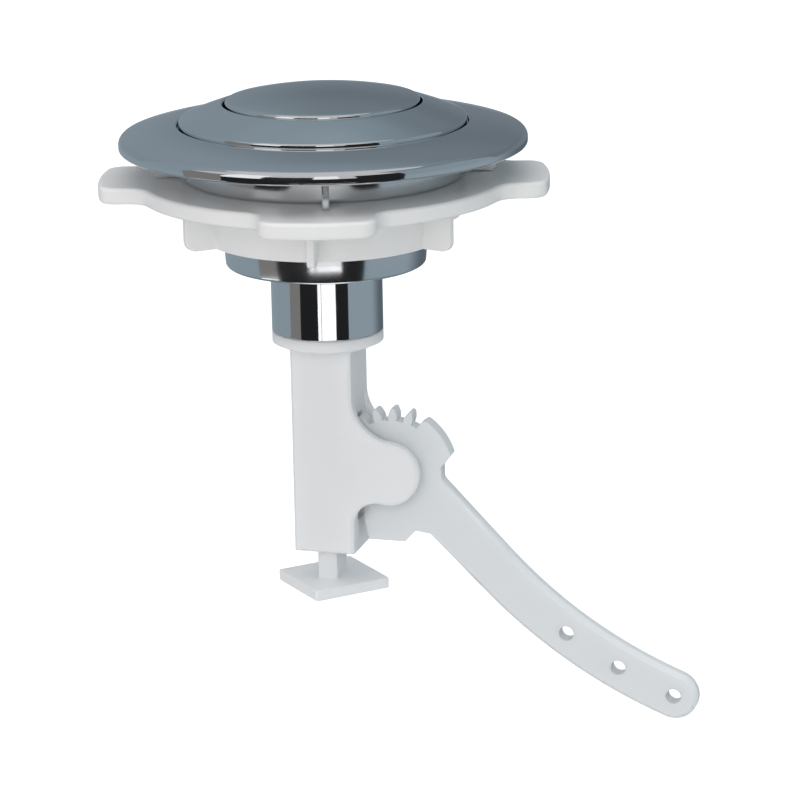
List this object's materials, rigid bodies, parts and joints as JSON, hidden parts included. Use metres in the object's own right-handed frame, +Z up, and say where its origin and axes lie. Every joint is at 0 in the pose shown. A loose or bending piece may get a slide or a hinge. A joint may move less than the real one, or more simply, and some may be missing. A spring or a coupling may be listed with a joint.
{
  "type": "push button cistern actuator",
  "caption": "Push button actuator for a cistern lid: chromed dome, bezel and flange, white clamp nut, and a rack that turns a toothed lever to lift the flush valve's chain.",
  "frame": {"origin": "on the button's axis, at the plane where the skirt sits on the cistern lid", "axes": "+Z up along the button's axis, +X towards the end of the lever's arm"},
  "size_m": [0.1101, 0.0814, 0.115],
  "materials": {
    "chromed_abs": "polished chrome plate on moulded ABS",
    "white_acetal": "moulded, satin",
    "white_abs": "moulded, satin",
    "spring_steel": "drawn wire"
  },
  "bodies": {
    "body": {"escutcheon": "chromed_abs", "bezel_ring": "chromed_abs", "rack_housing": "white_acetal", "return_spring": "spring_steel"},
    "button": {"button_cap": "chromed_abs", "button_plunger": "white_acetal", "rack": "white_acetal"},
    "lever": {"lever": "white_acetal"},
    "nut": {"clamp_nut": "white_abs"}
  },
  "joints": [
    {"name": "button_press", "type": "slide", "parent": "body", "child": "button", "axis": [0, 0, -1], "range_m": [0, 0.0084], "stiffness_N_per_m": 350, "springref_m": -0.008, "deforming": ["return_spring"]},
    {"name": "lever_swing", "type": "hinge", "parent": "body", "child": "lever", "pos_m": [0.0123, 0, -0.0546], "axis": [0, -1, 0], "range_deg": [0, 45.84]},
    {"name": "nut_travel", "type": "slide", "parent": "body", "child": "nut", "axis": [0, 0, -1], "range_m": [0, 0.008]}
  ],
  "couplings": [
    {"joint": "lever_swing", "follows": "button_press", "rad_per_m": 95.238}
  ]
}
